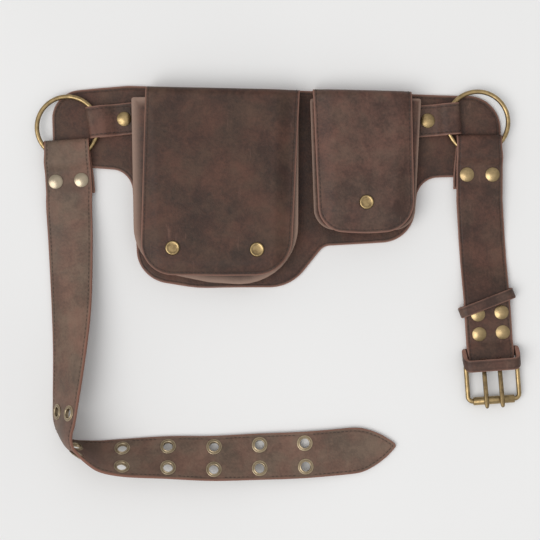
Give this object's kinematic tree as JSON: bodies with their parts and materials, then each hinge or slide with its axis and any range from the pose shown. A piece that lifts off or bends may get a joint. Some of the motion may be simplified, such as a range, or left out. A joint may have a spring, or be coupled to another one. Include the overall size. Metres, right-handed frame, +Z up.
{
  "type": "belt bag",
  "caption": "Leather belt bag lying flat: shaped back panel with flap pouches, brass rings at its ends, a punched strap and a strap with a double-prong roller buckle.",
  "frame": {"origin": "on the resting surface, under the middle of the whole lying bag", "axes": "+X along the bag from the punched strap's side to the buckle's side, +Y towards the panel's top edge, +Z up away from the surface"},
  "size_m": [0.4846, 0.3926, 0.0443],
  "materials": {
    "leather": "waxed, mottled, raw cut edges",
    "pale_leather": "waxed, paler from handling, raw cut edges",
    "brass": "antique brass, polished on the high spots"
  },
  "bodies": {
    "bag": {"back_panel": "leather", "large_pouch_gusset": "leather", "large_pouch_front": "leather", "large_pouch_flap": "leather", "small_pouch_gusset": "leather", "small_pouch_front": "leather", "small_pouch_flap": "leather", "left_tab": "leather", "right_tab": "leather", "left_strap": "pale_leather", "right_strap": "leather", "sliding_keeper": "leather", "buckle_keeper": "leather", "large_snap_cap_1": "brass", "large_snap_stud_1": "brass", "large_snap_cap_2": "brass", "large_snap_stud_2": "brass", "small_snap_cap": "brass", "small_snap_stud": "brass", "left_tab_rivet": "brass", "right_tab_rivet": "brass", "left_strap_rivet_1": "brass", "left_strap_rivet_2": "brass", "right_strap_rivet_1": "brass", "right_strap_rivet_2": "brass", "buckle_rivet_1": "brass", "buckle_rivet_2": "brass", "buckle_rivet_3": "brass", "buckle_rivet_4": "brass", "strap_eyelet_1a": "brass", "strap_eyelet_1b": "brass", "strap_eyelet_2a": "brass", "strap_eyelet_2b": "brass", "strap_eyelet_3a": "brass", "strap_eyelet_3b": "brass", "strap_eyelet_4a": "brass", "strap_eyelet_4b": "brass", "strap_eyelet_5a": "brass", "strap_eyelet_5b": "brass", "strap_eyelet_6a": "brass", "strap_eyelet_6b": "brass", "strap_eyelet_7a": "brass", "strap_eyelet_7b": "brass"},
    "frame": {"buckle_frame": "brass"},
    "roller": {"buckle_roller": "brass"},
    "left_prong": {"left_prong": "brass"},
    "right_prong": {"right_prong": "brass"},
    "left_ring": {"left_ring": "brass"},
    "right_ring": {"right_ring": "brass"}
  },
  "joints": [
    {"name": "frame_swing", "type": "hinge", "parent": "bag", "child": "frame", "pos_m": [0.21219, -0.07956, 0.0052], "axis": [-0.9973, -0.0732, 0], "range_deg": [0, 12]},
    {"name": "roller_spin", "type": "hinge", "parent": "frame", "child": "roller", "pos_m": [0.21495, -0.11706, 0.0052], "axis": [0.9973, 0.0732, 0], "continuous": true},
    {"name": "left_prong_swing", "type": "hinge", "parent": "frame", "child": "left_prong", "pos_m": [0.21219, -0.07956, 0.0052], "axis": [-0.9973, -0.0732, 0], "range_deg": [0, 18]},
    {"name": "right_prong_swing", "type": "hinge", "parent": "frame", "child": "right_prong", "pos_m": [0.21219, -0.07956, 0.0052], "axis": [-0.9973, -0.0732, 0], "range_deg": [0, 18]},
    {"name": "left_ring_spin", "type": "hinge", "parent": "bag", "child": "left_ring", "pos_m": [-0.2097, 0.1544, 0.0085], "axis": [0, 0, 1], "continuous": true},
    {"name": "right_ring_spin", "type": "hinge", "parent": "bag", "child": "right_ring", "pos_m": [0.1983, 0.1594, 0.0085], "axis": [0, 0, 1], "continuous": true}
  ]
}
